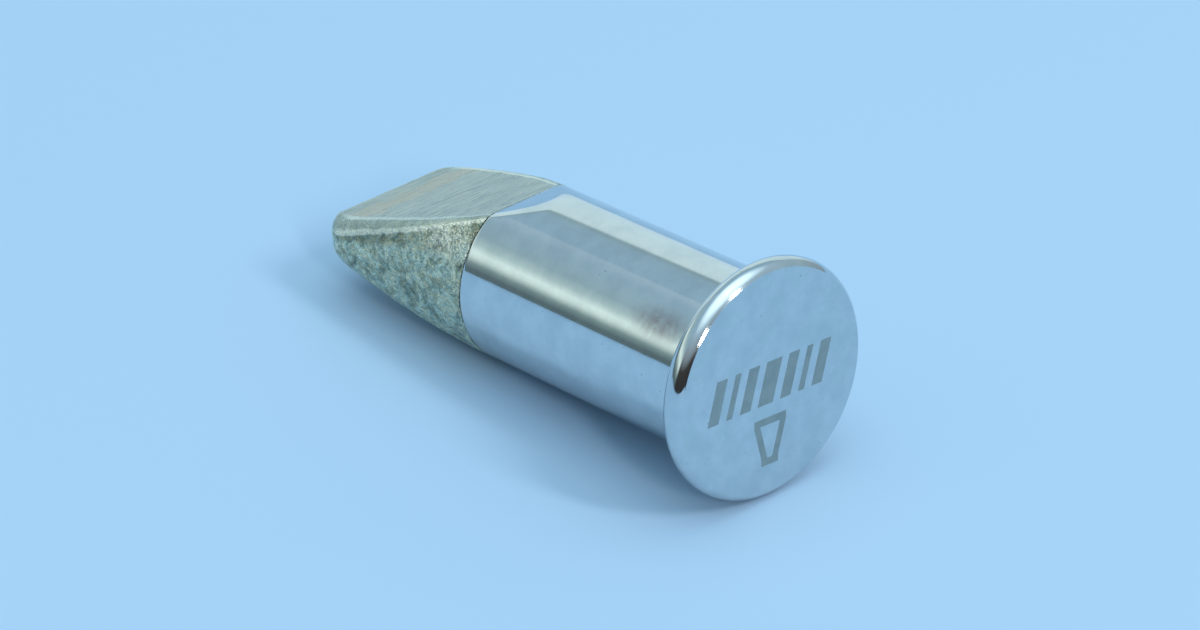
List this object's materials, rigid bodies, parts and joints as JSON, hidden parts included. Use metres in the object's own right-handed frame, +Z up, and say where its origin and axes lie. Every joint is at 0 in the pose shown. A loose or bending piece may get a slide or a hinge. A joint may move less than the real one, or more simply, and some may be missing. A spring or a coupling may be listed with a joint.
{
  "type": "chisel soldering tip",
  "caption": "Wide chisel soldering iron tip: plated copper barrel with a flanged flat rear face, tinned wedge nose, lying on its side.",
  "frame": {"origin": "on the bench surface, under the middle of the lying tip", "axes": "+Z up from the bench, nose towards -X, rear face towards +X and slightly up; the flats face up and down"},
  "size_m": [0.026, 0.0112, 0.0111],
  "materials": {
    "copper": "turned copper, hidden under the coats",
    "iron": "electroplated iron, dull grey, hidden",
    "nickel": "electroplated nickel, hidden under the chrome",
    "chrome": "bright plating over fine turning marks",
    "tin": "grainy grey-beige solder coat, satin on the flats"
  },
  "bodies": {
    "root": {"copper_core": "copper", "iron_plating": "iron", "nickel_underplate": "nickel", "chrome_plating": "chrome", "tin_coat": "tin"}
  },
  "joints": []
}
